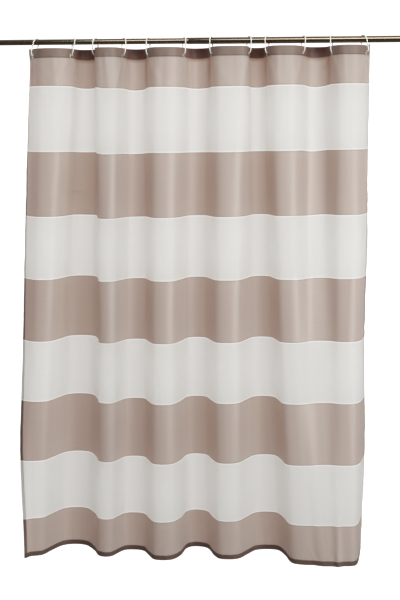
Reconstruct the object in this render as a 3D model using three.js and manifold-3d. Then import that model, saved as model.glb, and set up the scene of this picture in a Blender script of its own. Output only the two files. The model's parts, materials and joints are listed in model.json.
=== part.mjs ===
// A striped fabric shower curtain hanging by twelve ring hooks from a telescoping tension rod.
//
// Millimetres, +Z up. The origin is the centre of the left wall pad's outer face. The rod runs
// along +X to the right wall pad, and the curtain's room side faces -Y.
//
// Rod: inner tube, outer tube, mouth bushing, end plug, compression spring, spring stop, two end
// caps and two rubber wall pads. Curtain: one sheet of cloth with its header, bottom and side
// hems, twelve two-part grommets and twelve ring hooks.

import * as THREE from 'three';
import { mergeVertices } from 'three/addons/utils/BufferGeometryUtils.js';
import Module from 'manifold-3d';

const wasm = await Module();
wasm.setup();

// ---------------------------------------------------------------- driving dimensions

// Fits between touching pieces
const TOUCH_GAP = 0.3; // left between pieces that bear on each other
const SLIDE_GAP = 0.3; // radial clearance of a sliding tube or sleeve

// Rod
const ROD_LENGTH = 1524; // wall to wall, over both pads
const STATION_SPAN = 1524; // the rod length that the hook and fold stations are laid out on
const OUTER_TUBE_OD = 22.2;
const OUTER_TUBE_WALL = 0.6;
const INNER_TUBE_OD = 19.05;
const INNER_TUBE_WALL = 0.8;
const TUBE_OVERLAP = 290; // inner tube that is inside the outer tube
const BUSHING_LENGTH = 14;
const PLUG_LENGTH = 22; // closes the inner tube and carries the spring
const PLUG_LIP = 5; // part of the plug that stands out of the tube
const SPRING_LENGTH = 170;
const SPRING_OD = 17;
const SPRING_WIRE = 1.8;
const SPRING_TURNS = 9;
const STOP_LENGTH = 16;

// Wall ends
const PAD_OD = 34;
const PAD_THICKNESS = 4;
const PAD_RECESS = 2.5; // depth of the cap's seat for the pad
const CAP_OD = 30;
const CAP_RIM_OD = 38;
const CAP_RIM_LENGTH = 6;
const CAP_LENGTH = 26;
const CAP_WEB = 3; // solid web between the pad seat and the tube socket

// Hooks: open ovals of round wire, each turned about the vertical by the cloth that it carries
const HOOK_WIRE = 4;
const HOOK_ROOM = 2.9; // between a strand and the thicker tube, on each side
const HOOK_HEIGHT = 57; // between wire centres, top to bottom
const HOOK_REST = 0.5; // left between the top of the arch and the tube that carries it
const HOOK_CROSSING = 27; // degrees between a hook's plane and its grommet's axis
const HOOK_MOUTH = 5; // open gap in the back strand
const HOOK_SIDES = 6;
const HOOK_ARC_STEPS = 10;
const HOOK_STATIONS = [195, 326, 406, 502, 586, 709, 802, 930, 992, 1113, 1212, 1329];
const HOOKS_ON_INNER = 6; // the outer tube starts just after this many hooks
const HOOK_TO_MOUTH = 11; // from that hook to the outer tube's mouth

// Cloth
const CLOTH_WIDTH = 1828.8; // flat
const CLOTH_DROP = 1828.8;
const CLOTH_THICKNESS = 0.6;
const HEADER_HEM = 31;
const BOTTOM_HEM = 18;
const SIDE_HEM = 11;
const GROMMET_DROP = 24; // cloth edge down to a grommet's centre
const SEGMENTS_PER_PITCH = 7; // odd, so that each grommet sits on one flat facet
const BACK_SAG = 9; // how far a back fold's top edge sinks between its two hooks
const SAG_FADE = 500; // depth over which that sinking dies out

// Grommets
const GROMMET_HOLE = 9.4;
const GROMMET_SLACK = 1.2; // wire to the hole's upper edge, for a wire that crosses at an angle
const GROMMET_BARREL = 11;
const GROMMET_FLANGE = 15.6;
const GROMMET_PLATE = 0.7; // thickness of a flange or washer
const GROMMET_SIDES = 16;

// Where the folds stand, in plan. Each row is one point along the cloth, from the left edge to
// the right: grommets and fold crests in turn. x is along the rod and y is towards the wall
// side; a front fold has a negative y. The three pairs are the top edge, half way and the hem.
const HALF_WAY = CLOTH_DROP * 0.556; // drop of the middle pair
const STRAIGHT_HEADER = 60; // the header hangs straight down this far
const FOLDS = [
  [[170, 72], [121, 40], [90, 30]],
  [[195, 0], [149, 10], [97, 2]],
  [[258, -34], [190, -6], [114, -10]],
  [[326, 0], [244, 45], [192, 56]],
  [[367, 58], [314, 122], [270, 118]],
  [[406, 0], [378, 50], [340, 65]],
  [[453, -48], [424, -32], [400, -4]],
  [[502, 0], [470, 8], [442, 30]],
  [[543, 56], [524, 52], [487, 62]],
  [[586, 0], [572, -2], [560, 4]],
  [[646, -38], [629, -60], [620, -38]],
  [[709, 0], [686, 0], [676, 4]],
  [[755, 54], [734, 70], [726, 88]],
  [[802, 0], [794, 5], [800, 2]],
  [[864, -36], [858, -54], [854, -37]],
  [[930, 0], [920, 8], [922, 6]],
  [[960, 64], [975, 63], [994, 54]],
  [[992, 0], [1026, -5], [1062, -2]],
  [[1052, -40], [1074, -60], [1134, -90]],
  [[1113, 0], [1122, -45], [1182, -101]],
  [[1162, 52], [1170, -28], [1212, -104]],
  [[1212, 0], [1222, -38], [1244, -112]],
  [[1270, -42], [1277, -57], [1292, -103]],
  [[1329, 0], [1322, -28], [1322, -72]],
  [[1352, 72], [1346, 42], [1350, 60]],
];

// ---------------------------------------------------------------- derived sizes

const SPREAD = ROD_LENGTH / STATION_SPAN;
const HOOK_X = HOOK_STATIONS.map((x) => x * SPREAD);
const MOUTH_X = HOOK_X[HOOKS_ON_INNER - 1] + HOOK_TO_MOUTH;
const INNER_R = INNER_TUBE_OD / 2;
const OUTER_R = OUTER_TUBE_OD / 2;
const HOOK_COUNT = HOOK_X.length;
const HOOK_WIDTH = OUTER_TUBE_OD + HOOK_WIRE + 2 * HOOK_ROOM; // between wire centres
const HOOK_PITCH = CLOTH_WIDTH / HOOK_COUNT; // cloth from one grommet to the next
const SEGMENTS = HOOK_COUNT * SEGMENTS_PER_PITCH;
const INNER_END_X = MOUTH_X + TUBE_OVERLAP;
const TUBE_START = CAP_WEB + PAD_THICKNESS + TOUCH_GAP * 2;
const LAYER = CLOTH_THICKNESS + TOUCH_GAP; // one hem layer further back

// Height of a hook's bottom wire under the rod's axis, for the tube that it hangs on
const hookTopWire = (tubeR) => tubeR + HOOK_REST + HOOK_WIRE / 2;
const hookBottom = (tubeR) => hookTopWire(tubeR) - HOOK_HEIGHT;
const tubeUnder = (x) => (x < MOUTH_X ? INNER_R : OUTER_R);
// The hole's upper edge hangs on the wire.
const wireTop = (tubeR) => hookBottom(tubeR) + HOOK_WIRE / 2;
const holeHeight = (tubeR) => wireTop(tubeR) + GROMMET_SLACK - GROMMET_HOLE / 2;
const CLOTH_TOP = holeHeight(INNER_R) + GROMMET_DROP;
const STEP_UP = holeHeight(OUTER_R) - holeHeight(INNER_R);

// ---------------------------------------------------------------- helpers

const root = new THREE.Group();
root.name = 'shower_curtain';

function material(colour, roughness, metalness) {
  return new THREE.MeshStandardMaterial({ color: colour, roughness, metalness });
}

// Six times the volume that a mesh's faces enclose, negative when they point inwards
function signedVolume(geometry) {
  const at = geometry.getAttribute('position');
  const count = geometry.index ? geometry.index.count : at.count;
  const corner = (i) => {
    const k = geometry.index ? geometry.index.getX(i) : i;
    return new THREE.Vector3().fromBufferAttribute(at, k);
  };
  let sum = 0;
  for (let i = 0; i < count; i += 3) {
    sum += corner(i).dot(corner(i + 1).cross(corner(i + 2)));
  }
  return sum;
}

// Turns every face over where the faces point inwards.
function facingOut(geometry) {
  if (signedVolume(geometry) > 0) return geometry;
  const index = geometry.index;
  for (let i = 0; i < index.count; i += 3) {
    const b = index.getX(i + 1);
    index.setX(i + 1, index.getX(i + 2));
    index.setX(i + 2, b);
  }
  return geometry;
}

function add(name, geometry, mat) {
  const mesh = new THREE.Mesh(facingOut(geometry), mat);
  mesh.name = name;
  root.add(mesh);
  return mesh;
}

function toManifold(geometry) {
  const bare = new THREE.BufferGeometry();
  bare.setAttribute('position', geometry.getAttribute('position').clone());
  if (geometry.index) bare.setIndex(geometry.index.clone());
  const merged = mergeVertices(bare, 1e-4);
  const vertProperties = new Float32Array(merged.getAttribute('position').array);
  const triVerts = new Uint32Array(merged.index.array);
  return new wasm.Manifold(new wasm.Mesh({ numProp: 3, vertProperties, triVerts }));
}

function fromManifold(solid) {
  const mesh = solid.getMesh();
  const geometry = new THREE.BufferGeometry();
  geometry.setAttribute('position', new THREE.BufferAttribute(mesh.vertProperties, 3));
  geometry.setIndex(new THREE.BufferAttribute(mesh.triVerts, 1));
  return geometry;
}

// A turned part about the X axis. The profile is [x, radius] pairs, closed on itself.
function turnedX(profile, sides) {
  const points = profile.map(([x, r]) => new THREE.Vector2(r, x));
  const geometry = new THREE.LatheGeometry([...points, points[0]], sides);
  geometry.rotateZ(-Math.PI / 2);
  return geometry;
}

// A ring section between two radii and two stations along X
function sleeve(x0, x1, rIn, rOut, sides) {
  return turnedX([[x0, rIn], [x0, rOut], [x1, rOut], [x1, rIn]], sides);
}

// ---------------------------------------------------------------- the cloth's shape

function between(a, b, t) {
  return a + (b - a) * t;
}

const FOLD_STEPS = 40; // points worked out between one fold station and the next

// The plan line through the fold stations at one drop, with the folds' depth times a factor
function foldLine(drop, depth) {
  const lower = Math.max(drop - STRAIGHT_HEADER, 0);
  const first = Math.min(lower / (HALF_WAY - STRAIGHT_HEADER), 1);
  const second = Math.max((drop - HALF_WAY) / (CLOTH_DROP - HALF_WAY), 0);
  const points = FOLDS.map(([top, mid, hem]) => {
    const x = between(between(top[0], mid[0], first), hem[0], second) * SPREAD;
    const y = between(between(top[1], mid[1], first), hem[1], second);
    return new THREE.Vector3(x, y * depth, 0);
  });
  const curve = new THREE.CatmullRomCurve3(points, false, 'centripetal');
  const line = curve.getPoints((FOLDS.length - 1) * FOLD_STEPS);
  const length = [0];
  for (let i = 1; i < line.length; i += 1) {
    length.push(length[i - 1] + line[i].distanceTo(line[i - 1]));
  }
  return { line, length, total: length[length.length - 1] };
}

// The cloth neither stretches nor shrinks: the depth factor is the one that gives its flat width.
const planLines = new Map();
function planLine(drop) {
  if (!planLines.has(drop)) {
    let low = 0;
    let high = 4;
    for (let i = 0; i < 20; i += 1) {
      const middle = (low + high) / 2;
      if (foldLine(drop, middle).total < CLOTH_WIDTH) low = middle;
      else high = middle;
    }
    planLines.set(drop, foldLine(drop, (low + high) / 2));
  }
  return planLines.get(drop);
}

const hookStation = (i) => HOOK_PITCH * (i + 0.5);

// How far the cloth sinks in a back fold: nothing at the grommets, most between them
function sagAt(along, drop) {
  const turn = along / HOOK_PITCH - 0.5;
  const pair = Math.floor(turn);
  if (pair < 0 || pair >= HOOK_COUNT - 1 || pair % 2 === 0) return 0;
  const within = turn - pair;
  return BACK_SAG * Math.sin(Math.PI * within) ** 2 * Math.exp(-drop / SAG_FADE);
}

// The cloth hangs a little higher where its hooks sit on the thicker tube.
function liftAt(along) {
  const last = HOOK_X.findIndex((x) => x >= MOUTH_X);
  const t = (along - hookStation(last - 1)) / HOOK_PITCH;
  return STEP_UP * Math.min(Math.max(t, 0), 1);
}

// At the header the plan line passes through each grommet's own place, so the spacing along it
// is worked out pitch by pitch; lower down the cloth is spread evenly.
function rowPoints(drop, columns) {
  const { line, length, total } = planLine(drop);
  const steps = FOLDS.length - 1;
  const even = (along) => (along / CLOTH_WIDTH) * total;
  const knots = FOLDS.map((fold, i) => length[i * FOLD_STEPS]);
  const pinned = (along) => {
    const place = (along / CLOTH_WIDTH) * steps;
    const k = Math.min(Math.floor(place), steps - 1);
    return between(knots[k], knots[k + 1], place - k);
  };
  const free = Math.min(Math.max(drop - STRAIGHT_HEADER, 0) / HALF_WAY, 1);
  const blend = free * free * (3 - 2 * free);
  return columns.map((along) => {
    const at = between(pinned(along), even(along), blend);
    let j = length.findIndex((l) => l >= at);
    if (j < 1) j = at <= 0 ? 1 : length.length - 1;
    const t = Math.min(Math.max((at - length[j - 1]) / (length[j] - length[j - 1]), 0), 1);
    const point = line[j - 1].clone().lerp(line[j], t);
    point.z = CLOTH_TOP - drop - sagAt(along, drop) + liftAt(along);
    return point;
  });
}

// A closed shell over part of the cloth. near and far are distances behind the cloth's middle
// surface; columns are places along the cloth and drops are places down it.
function shell(columns, drops, near, far) {
  const edge = 0.5;
  const rows = drops.map((drop) => {
    const left = rowPoints(drop, columns.map((c) => Math.max(c - edge, 0)));
    const right = rowPoints(drop, columns.map((c) => Math.min(c + edge, CLOTH_WIDTH)));
    return rowPoints(drop, columns).map((p, i) => {
      const tangent = right[i].clone().sub(left[i]).setZ(0).normalize();
      return { p, normal: new THREE.Vector3(-tangent.y, tangent.x, 0) };
    });
  });
  const positions = [];
  const index = [];
  const across = columns.length;
  const down = drops.length;
  for (const offset of [near, far]) {
    for (const row of rows) {
      for (const { p, normal } of row) {
        positions.push(p.x + normal.x * offset, p.y + normal.y * offset, p.z);
      }
    }
  }
  const at = (side, r, c) => side * across * down + r * across + c;
  const quad = (a, b, c, d) => index.push(a, b, c, a, c, d);
  for (let r = 0; r < down - 1; r += 1) {
    for (let c = 0; c < across - 1; c += 1) {
      quad(at(0, r, c), at(0, r + 1, c), at(0, r + 1, c + 1), at(0, r, c + 1));
      quad(at(1, r, c), at(1, r, c + 1), at(1, r + 1, c + 1), at(1, r + 1, c));
    }
  }
  for (let c = 0; c < across - 1; c += 1) {
    quad(at(0, 0, c), at(0, 0, c + 1), at(1, 0, c + 1), at(1, 0, c));
    quad(at(0, down - 1, c), at(1, down - 1, c), at(1, down - 1, c + 1), at(0, down - 1, c + 1));
  }
  for (let r = 0; r < down - 1; r += 1) {
    quad(at(0, r, 0), at(1, r, 0), at(1, r + 1, 0), at(0, r + 1, 0));
    const c = across - 1;
    quad(at(0, r, c), at(0, r + 1, c), at(1, r + 1, c), at(1, r, c));
  }
  const geometry = new THREE.BufferGeometry();
  geometry.setAttribute('position', new THREE.Float32BufferAttribute(positions, 3));
  geometry.setIndex(index);
  return geometry;
}

// ---------------------------------------------------------------- materials

const bronze = material('#5d4a3c', 0.3, 0.9);
const steel = material('#9a9a98', 0.35, 0.9);
const nickel = material('#c9c6c0', 0.25, 1);
const darkPlastic = material('#3a2e27', 0.45, 0);
const rubber = material('#2b2725', 0.85, 0);
const creamPlastic = material('#e9e4d8', 0.35, 0);
const taupeCloth = material('#bfb0a4', 0.6, 0);
const darkHem = material('#8c7569', 0.65, 0);

// ---------------------------------------------------------------- rod

const tubeSides = 24;
const TURNED_SIDES = 24;
const innerBore = INNER_R - INNER_TUBE_WALL;
const outerBore = OUTER_R - OUTER_TUBE_WALL;
const outerEndX = ROD_LENGTH - TUBE_START;

add('inner_tube', sleeve(TUBE_START, INNER_END_X, innerBore, INNER_R, tubeSides), bronze);
add('outer_tube', sleeve(MOUTH_X, outerEndX, outerBore, OUTER_R, tubeSides), bronze);
add('mouth_bushing',
  sleeve(MOUTH_X + 1, MOUTH_X + 1 + BUSHING_LENGTH, INNER_R + SLIDE_GAP, outerBore - TOUCH_GAP,
    tubeSides),
  darkPlastic);

// Plug in the inner tube's far end, with a lip that the spring bears on
const plugR = innerBore - TOUCH_GAP;
const plugFace = INNER_END_X + TOUCH_GAP + PLUG_LIP;
add('inner_tube_plug', turnedX([
  [INNER_END_X - PLUG_LENGTH, 2],
  [INNER_END_X - PLUG_LENGTH, plugR],
  [INNER_END_X + TOUCH_GAP, plugR],
  [INNER_END_X + TOUCH_GAP, INNER_R + 0.4],
  [plugFace, INNER_R + 0.4],
  [plugFace, 2],
], 20), darkPlastic);

// Compression spring, and the stop behind it in the outer tube
const springStart = plugFace + TOUCH_GAP + SPRING_WIRE / 2;
const springEnd = springStart + SPRING_LENGTH;
class Coil extends THREE.Curve {
  getPoint(t, target = new THREE.Vector3()) {
    const angle = t * SPRING_TURNS * Math.PI * 2;
    const r = (SPRING_OD - SPRING_WIRE) / 2;
    const x = between(springStart, springEnd, t);
    return target.set(x, r * Math.cos(angle), r * Math.sin(angle));
  }
}
function roundSection(radius, sides) {
  const shape = new THREE.Shape();
  for (let i = 0; i < sides; i += 1) {
    const a = (i / sides) * Math.PI * 2;
    if (i === 0) shape.moveTo(radius * Math.cos(a), radius * Math.sin(a));
    else shape.lineTo(radius * Math.cos(a), radius * Math.sin(a));
  }
  shape.closePath();
  return shape;
}
add('tension_spring', new THREE.ExtrudeGeometry(roundSection(SPRING_WIRE / 2, 5), {
  steps: SPRING_TURNS * 9,
  extrudePath: new Coil(),
  bevelEnabled: false,
}), steel);

const stopX = springEnd + SPRING_WIRE / 2 + TOUCH_GAP;
add('spring_stop', turnedX([
  [stopX, 2],
  [stopX, outerBore - TOUCH_GAP],
  [stopX + STOP_LENGTH, outerBore - TOUCH_GAP],
  [stopX + STOP_LENGTH, 2],
], 20), darkPlastic);

// End cap: a seat for the pad on the wall side and a socket for the tube on the other
function endCap(tubeR) {
  const wallFace = PAD_THICKNESS - PAD_RECESS;
  const seat = PAD_THICKNESS + TOUCH_GAP;
  const web = seat + CAP_WEB;
  return turnedX([
    [wallFace, CAP_RIM_OD / 2],
    [wallFace + CAP_RIM_LENGTH, CAP_RIM_OD / 2],
    [wallFace + CAP_RIM_LENGTH + 3, CAP_OD / 2],
    [wallFace + CAP_LENGTH - 2, tubeR + 3],
    [wallFace + CAP_LENGTH, tubeR + 2],
    [wallFace + CAP_LENGTH, tubeR + TOUCH_GAP],
    [web, tubeR + TOUCH_GAP],
    [web, 2.5],
    [seat, 2.5],
    [seat, PAD_OD / 2 + TOUCH_GAP],
    [wallFace, PAD_OD / 2 + TOUCH_GAP],
  ], TURNED_SIDES);
}

// Wall pad: a rubber disc with a rounded edge and a flat face on the wall
function wallPad() {
  const geometry = new THREE.LatheGeometry([
    [0, 0], [PAD_OD / 2 - 1, 0], [PAD_OD / 2, 1], [PAD_OD / 2, PAD_THICKNESS], [0, PAD_THICKNESS],
  ].map(([r, x]) => new THREE.Vector2(r, x)), TURNED_SIDES);
  geometry.rotateZ(-Math.PI / 2);
  return geometry;
}

add('left_end_cap', endCap(INNER_R), darkPlastic);
add('left_wall_pad', wallPad(), rubber);
for (const [name, geometry, mat] of [
  ['right_end_cap', endCap(OUTER_R), darkPlastic],
  ['right_wall_pad', wallPad(), rubber],
]) {
  geometry.rotateZ(Math.PI);
  geometry.translate(ROD_LENGTH, 0, 0);
  add(name, geometry, mat);
}

// ---------------------------------------------------------------- hooks

class HookPath extends THREE.Curve {
  // From one side of the mouth in the back strand, over the rod, down the front strand and
  // under to the other side of the mouth
  constructor() {
    super();
    const r = HOOK_WIDTH / 2;
    const straight = HOOK_HEIGHT - HOOK_WIDTH;
    this.points = [];
    const mouthTop = -straight * 0.55 + HOOK_MOUTH / 2;
    this.points.push([r, mouthTop]);
    for (let i = 0; i <= HOOK_ARC_STEPS; i += 1) {
      const a = (i / HOOK_ARC_STEPS) * Math.PI;
      this.points.push([r * Math.cos(a), r * Math.sin(a)]);
    }
    for (let i = 0; i <= HOOK_ARC_STEPS; i += 1) {
      const a = Math.PI + (i / HOOK_ARC_STEPS) * Math.PI;
      this.points.push([r * Math.cos(a), -straight + r * Math.sin(a)]);
    }
    this.points.push([r, mouthTop - HOOK_MOUTH]);
  }

  getPoint(t, target = new THREE.Vector3()) {
    const last = this.points.length - 1;
    const k = Math.min(Math.floor(t * last), last - 1);
    const f = t * last - k;
    const [y0, z0] = this.points[k];
    const [y1, z1] = this.points[k + 1];
    return target.set(0, between(y0, y1, f), between(z0, z1, f));
  }

  getPointAt(t, target) {
    return this.getPoint(t, target);
  }

  getTangent(t, target = new THREE.Vector3()) {
    const last = this.points.length - 1;
    const k = Math.round(t * last);
    const [y0, z0] = this.points[Math.max(k - 1, 0)];
    const [y1, z1] = this.points[Math.min(k + 1, last)];
    return target.set(0, y1 - y0, z1 - z0).normalize();
  }

  getTangentAt(t, target) {
    return this.getTangent(t, target);
  }
}

// ---------------------------------------------------------------- cloth, hems and grommets

// The hems share the panel's own rows and columns, so that they lie flat on its facets.
const allColumns = [SIDE_HEM, CLOTH_WIDTH - SIDE_HEM];
for (let i = 0; i <= SEGMENTS; i += 1) {
  allColumns.push((i / SEGMENTS) * CLOTH_WIDTH);
}
allColumns.sort((a, b) => a - b);
const half = CLOTH_THICKNESS / 2;
const hemLine = CLOTH_DROP - BOTTOM_HEM;
const OPEN_ROWS = 8; // rows of facets between the straight header and the bottom hem
const openDrops = [];
for (let i = 0; i <= OPEN_ROWS; i += 1) {
  openDrops.push(between(STRAIGHT_HEADER, hemLine, i / OPEN_ROWS));
}
const panelDrops = [0, ...openDrops, CLOTH_DROP];

// Where a grommet stands and which way its axis points
function grommetPlace(i) {
  const s = hookStation(i);
  const step = CLOTH_WIDTH / SEGMENTS / 2;
  const [a, middle, b] = rowPoints(GROMMET_DROP, [s - step, s, s + step]);
  const centre = a.clone().add(b).multiplyScalar(0.5);
  const tangent = b.clone().sub(a).setZ(0).normalize();
  centre.z = middle.z;
  return { centre, axis: new THREE.Vector3(-tangent.y, tangent.x, 0) };
}

function placeOnAxis(geometry, { centre, axis }) {
  const turn = new THREE.Quaternion().setFromUnitVectors(new THREE.Vector3(0, 1, 0), axis);
  geometry.applyQuaternion(turn);
  geometry.translate(centre.x, centre.y, centre.z);
  return geometry;
}

const places = HOOK_X.map((x, i) => grommetPlace(i));
const hookPath = new HookPath();
for (let i = 0; i < HOOK_COUNT; i += 1) {
  const geometry = new THREE.ExtrudeGeometry(roundSection(HOOK_WIRE / 2, HOOK_SIDES), {
    steps: hookPath.points.length - 1,
    extrudePath: hookPath,
    bevelEnabled: false,
  });
  const { axis } = places[i];
  const holeTurn = Math.atan2(-axis.x, axis.y);
  const yaw = holeTurn - Math.sign(holeTurn) * THREE.MathUtils.degToRad(HOOK_CROSSING);
  const mesh = add(`hook_${String(i + 1).padStart(2, '0')}`, geometry, creamPlastic);
  mesh.rotation.z = yaw;
  const x = places[i].centre.x; // each hook hangs straight over its grommet
  mesh.position.set(x, 0, hookTopWire(tubeUnder(x)) - HOOK_WIDTH / 2);
}

const cutR = GROMMET_BARREL / 2 + TOUCH_GAP;

function pierced(geometry) {
  let solid = toManifold(facingOut(geometry));
  for (const place of places) {
    const cutter = new THREE.CylinderGeometry(cutR, cutR, 8, GROMMET_SIDES);
    solid = solid.subtract(toManifold(facingOut(placeOnAxis(cutter, place))));
  }
  return fromManifold(solid);
}

add('cloth_panel', pierced(shell(allColumns, panelDrops, -half, half)), taupeCloth);
add('header_hem',
  pierced(shell(allColumns, [0.5, HEADER_HEM], -half + LAYER, half + LAYER)), darkHem);
add('bottom_hem',
  shell(allColumns, [hemLine + 1, CLOTH_DROP - 0.5], -half + LAYER, half + LAYER),
  darkHem);
const hemDrops = [HEADER_HEM + 2, ...openDrops];
add('left_side_hem', shell([0.5, SIDE_HEM], hemDrops, -half + LAYER, half + LAYER), darkHem);
add('right_side_hem',
  shell([CLOTH_WIDTH - SIDE_HEM, CLOTH_WIDTH - 0.5], hemDrops, -half + LAYER, half + LAYER),
  darkHem);

// Grommets: an eyelet with its flange on the room side, and a washer behind the hem
function turnedY(profile) {
  const points = profile.map(([r, y]) => new THREE.Vector2(r, y));
  return new THREE.LatheGeometry([...points, points[0]], GROMMET_SIDES);
}
const front = -half - TOUCH_GAP;
const back = half + LAYER + TOUCH_GAP;
const washerHole = GROMMET_BARREL / 2 + TOUCH_GAP;
places.forEach((place, i) => {
  const label = String(i + 1).padStart(2, '0');
  const eyelet = turnedY([
    [GROMMET_HOLE / 2, front - GROMMET_PLATE],
    [GROMMET_FLANGE / 2, front - GROMMET_PLATE],
    [GROMMET_FLANGE / 2, front],
    [GROMMET_BARREL / 2, front],
    [GROMMET_BARREL / 2, back + GROMMET_PLATE],
    [GROMMET_HOLE / 2, back + GROMMET_PLATE],
  ]);
  add(`grommet_${label}`, placeOnAxis(eyelet, place), nickel);
  const washer = turnedY([
    [washerHole, back],
    [GROMMET_FLANGE / 2, back],
    [GROMMET_FLANGE / 2, back + GROMMET_PLATE],
    [washerHole, back + GROMMET_PLATE],
  ]);
  add(`grommet_washer_${label}`, placeOnAxis(washer, place), nickel);
});

export default root;
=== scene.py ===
"""A striped fabric shower curtain on a tension rod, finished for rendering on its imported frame.

Metres, +Z up. The rod runs along +X from the left wall pad's face, and the room side faces -Y.
"""

import json
import math
import random

import bmesh
import bpy
import numpy as np
from bpy.props import (
    FloatProperty,
    FloatVectorProperty,
    IntProperty,
    PointerProperty,
)
from mathutils import Matrix, Vector


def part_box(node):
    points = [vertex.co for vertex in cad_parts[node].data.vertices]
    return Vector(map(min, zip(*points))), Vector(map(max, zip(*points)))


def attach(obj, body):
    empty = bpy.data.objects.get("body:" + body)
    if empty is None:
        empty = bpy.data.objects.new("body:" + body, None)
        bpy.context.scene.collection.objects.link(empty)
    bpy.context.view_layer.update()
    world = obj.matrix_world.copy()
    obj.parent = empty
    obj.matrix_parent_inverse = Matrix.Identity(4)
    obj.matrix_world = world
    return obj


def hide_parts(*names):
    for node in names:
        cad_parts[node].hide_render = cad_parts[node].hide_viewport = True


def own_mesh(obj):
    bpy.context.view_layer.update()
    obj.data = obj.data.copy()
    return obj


bl_info = {
    "name": "Shower curtain",
    "version": (1, 0, 0),
    "blender": (4, 5, 0),
    "location": "View3D > Sidebar > Curtain",
    "description": "Builds a striped shower curtain on ring hooks and a tension rod",
    "category": "Object",
}

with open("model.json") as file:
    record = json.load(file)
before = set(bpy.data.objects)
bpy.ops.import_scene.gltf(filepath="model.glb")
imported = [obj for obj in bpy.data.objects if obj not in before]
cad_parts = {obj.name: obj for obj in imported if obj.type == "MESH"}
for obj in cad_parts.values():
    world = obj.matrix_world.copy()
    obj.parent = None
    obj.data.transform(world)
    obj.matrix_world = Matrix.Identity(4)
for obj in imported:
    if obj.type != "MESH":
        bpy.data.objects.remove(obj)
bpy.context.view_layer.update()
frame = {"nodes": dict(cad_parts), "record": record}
RECORD = frame["record"]
MM = 0.001

# ---------------------------------------------------------------- the cloth's plan

# Fold stations along the cloth in millimetres, as (x, y) at the header, half way and the hem:
# the left edge, then grommets and fold crests in turn, then the right edge.
FOLDS = (
    ((170, 72), (118, 38), (102, -14)),
    ((195, 0), (146, 10), (110, -8)),
    ((258, -34), (188, -6), (134, 8)),
    ((326, 0), (244, 45), (190, 58)),
    ((367, 58), (314, 122), (270, 118)),
    ((406, 0), (388, 40), (352, 54)),
    ((453, -48), (424, -32), (400, -4)),
    ((502, 0), (470, 8), (442, 30)),
    ((543, 56), (524, 52), (487, 62)),
    ((586, 0), (572, -2), (560, 4)),
    ((646, -38), (629, -60), (620, -38)),
    ((709, 0), (686, 0), (676, 4)),
    ((755, 54), (734, 70), (726, 88)),
    ((802, 0), (794, 5), (800, 2)),
    ((864, -36), (858, -54), (854, -37)),
    ((930, 0), (920, 8), (922, 6)),
    ((960, 64), (975, 63), (994, 54)),
    ((992, 0), (1026, -5), (1062, -2)),
    ((1052, -40), (1074, -60), (1134, -90)),
    ((1113, 0), (1122, -45), (1182, -101)),
    ((1162, 52), (1170, -28), (1212, -104)),
    ((1212, 0), (1222, -38), (1244, -112)),
    ((1270, -42), (1277, -57), (1292, -103)),
    ((1329, 0), (1322, -28), (1322, -72)),
    ((1352, 72), (1346, 42), (1350, 60)),
)
FOLD_STEPS = 12  # points worked out between two stations
FOLD_EASE = 9 * MM  # distance over which the plan line's bends are eased
CURVE_TAKES_OVER = 2.88  # how soon a curve through the three levels replaces straight lines
SHOULDER = (0.52, 0.18)  # how far a fold's shoulder is toward its side, in x and in depth
HALF_WAY = 0.556  # share of the drop at the middle stations
STRAIGHT_HEADER = 60 * MM
EVEN_BELOW = 0.9  # drop in metres at which the cloth no longer follows the grommets
GROMMET_DROP = 24 * MM  # from the top edge to a grommet's middle
SAG_FADES = {1: 0.25, 3: 0.3, 5: 0.12, 7: 0.12, 9: 0.5}  # metres, by back fold
OTHER_SAG_FADE = 0.1
SAG_SHARE, SAG_STARTS = 1.08, 0.05  # the sag's full share, and the metres it takes to set in
# How much higher the upper cloth hangs, in millimetres, at places along it in metres
LEVELS = (
    (0, 0.3, 0.4, 0.445, 0.56, 0.7, 1.0, 1.3, 1.6, 1.829),
    (7, 4.5, 3, -5, -4, -1, -3, 0, 3, 5),
)
LEVELS_START = (0.03, 0.13)  # metres down, none and all of it
LEVELS_FADE = 0.8
CORNER_LIFTS = (4 * MM, 10 * MM)  # how much higher the top corners hang, left and right
CORNER_REACH, CORNER_FADE = 0.07, 0.1  # metres along the cloth and down it
# Where a side edge swells out and where it curls forward, in metres: how far, how far down,
# over what height and with what reach into the cloth
EDGE_SWELL = (13 * MM, 1.43, 0.27, 0.09)
EDGE_CURL = (30 * MM, 0.68, 0.17, 0.02)
RIGHT_SWELL = 0.7  # the right edge's share of the swell
# The crumple at the right side seam: its middle from the edge, depth, half width and ridge width
CRUMPLE = (26 * MM, 4.6 * MM, 20 * MM, 7 * MM)
CRUMPLE_RIDGES = ((0.5, 0.49), (0.35, 0.515), (0.7, 0.54), (0.5, 0.565))  # slant, metres down
FLAT_BY_GROMMET = (9 * MM, 24 * MM)  # from its middle, where the cloth is flat and where it is free

HOOKS = 12
HOOK_WIDTH, HOOK_HEIGHT = 32 * MM, 57 * MM  # along the middle of the wire
HOOK_LEANS = (12, 10, 3, 4, 2, 2, 0, 2, -1, 3, -2, -9)  # mm aside at the rod, hook by hook
INNER_TUBE, OUTER_TUBE = 19.05 * MM, 22.2 * MM  # outside widths of the rod's tubes

HOOK_NAMES = [f"hook_{i + 1:02d}" for i in range(HOOKS)]
GROMMET_NAMES = [f"grommet_{i + 1:02d}" for i in range(HOOKS)]
WASHER_NAMES = [f"grommet_washer_{i + 1:02d}" for i in range(HOOKS)]


def centre_of(node):
    """The middle of a CAD node's box."""
    low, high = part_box(node)
    return (Vector(low) + Vector(high)) / 2


GROMMET_CENTRES = [centre_of(name) for name in GROMMET_NAMES]


def body_with(node):
    """The name of the CAD body that holds a node."""
    for body, members in RECORD["behaviour"]["bodies"].items():
        if node in members:
            return body
    raise RuntimeError(f"no body holds {node}")


# ---------------------------------------------------------------- settings


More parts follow.
